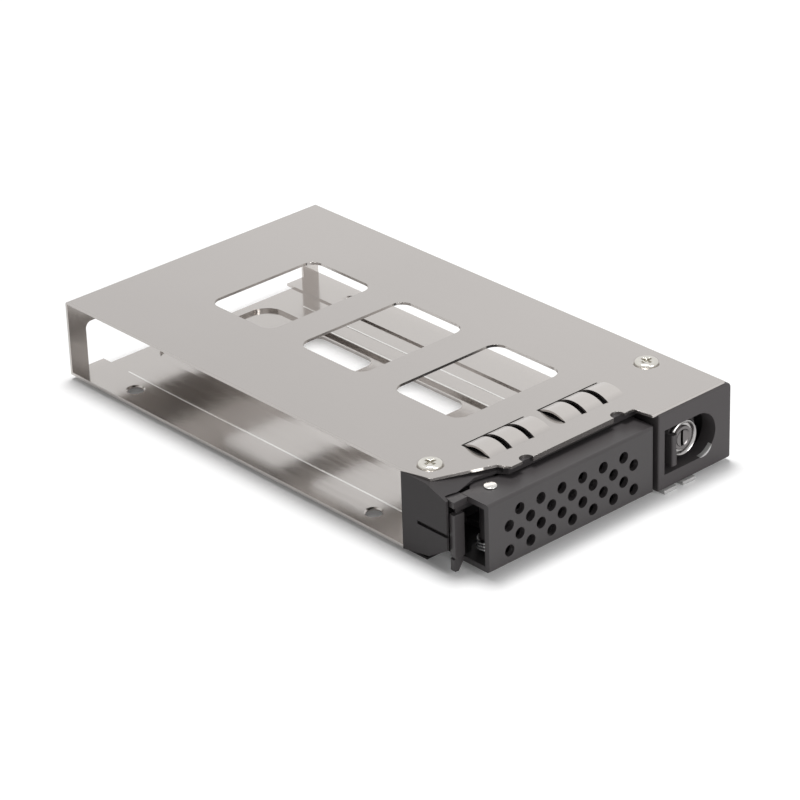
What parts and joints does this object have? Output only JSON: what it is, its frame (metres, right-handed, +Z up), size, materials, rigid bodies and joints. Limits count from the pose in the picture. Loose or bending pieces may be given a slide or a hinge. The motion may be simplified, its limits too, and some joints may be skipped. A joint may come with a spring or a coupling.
{
  "type": "removable 2.5 inch drive tray of a hard drive mobile rack",
  "caption": "Folded steel tray for a 2.5 inch drive with a perforated swing handle, a sliding latch with a key lock, spring fingers and light pipes.",
  "frame": {"origin": "centre of the four drive screw holes, in the plane that the drive sits on", "axes": "+Z up, the front with the handle faces -Y, +X to the right seen from the front"},
  "size_m": [0.0726, 0.1277, 0.0198],
  "materials": {
    "sheet_steel": "satin rolled stainless sheet",
    "black_plastic": "fine moulded texture",
    "handle_plastic": "fine moulded texture",
    "bright_steel": "bright turned steel",
    "spring_steel": "drawn wire",
    "lock_chrome": "chromed",
    "screw_nickel": "nickel plated",
    "light_pipe": "milky clear light guide"
  },
  "bodies": {
    "tray": {"tray_cage": "sheet_steel", "front_frame": "black_plastic", "torsion_spring": "spring_steel", "latch_spring": "spring_steel", "top_screw_left": "screw_nickel", "top_screw_right": "screw_nickel", "base_screw_left": "screw_nickel", "base_screw_right": "screw_nickel", "light_pipe_left": "light_pipe", "light_pipe_right": "light_pipe", "status_light": "light_pipe"},
    "handle": {"handle": "handle_plastic", "ejector_cam": "handle_plastic", "pivot_pin": "bright_steel", "pivot_clip": "bright_steel"},
    "latch": {"latch_slider": "black_plastic", "lock_housing": "lock_chrome", "lock_nut": "bright_steel"},
    "key_plug": {"key_plug": "lock_chrome", "lock_cam": "bright_steel", "lock_cam_screw": "bright_steel"}
  },
  "joints": [
    {"name": "handle_swing", "type": "hinge", "parent": "tray", "child": "handle", "pos_m": [-0.0253, -0.0665, 0.007], "axis": [0, 0, -1], "range_deg": [0, 80]},
    {"name": "latch_slide", "type": "slide", "parent": "tray", "child": "latch", "axis": [1, 0, 0], "range_m": [0, 0.003], "stiffness_N_per_m": 300, "springref_m": -0.002, "deforming": ["latch_spring"]},
    {"name": "key_turn", "type": "hinge", "parent": "latch", "child": "key_plug", "pos_m": [0.0249, -0.0704, 0.00745], "axis": [0, -1, 0], "range_deg": [0, 90]}
  ]
}
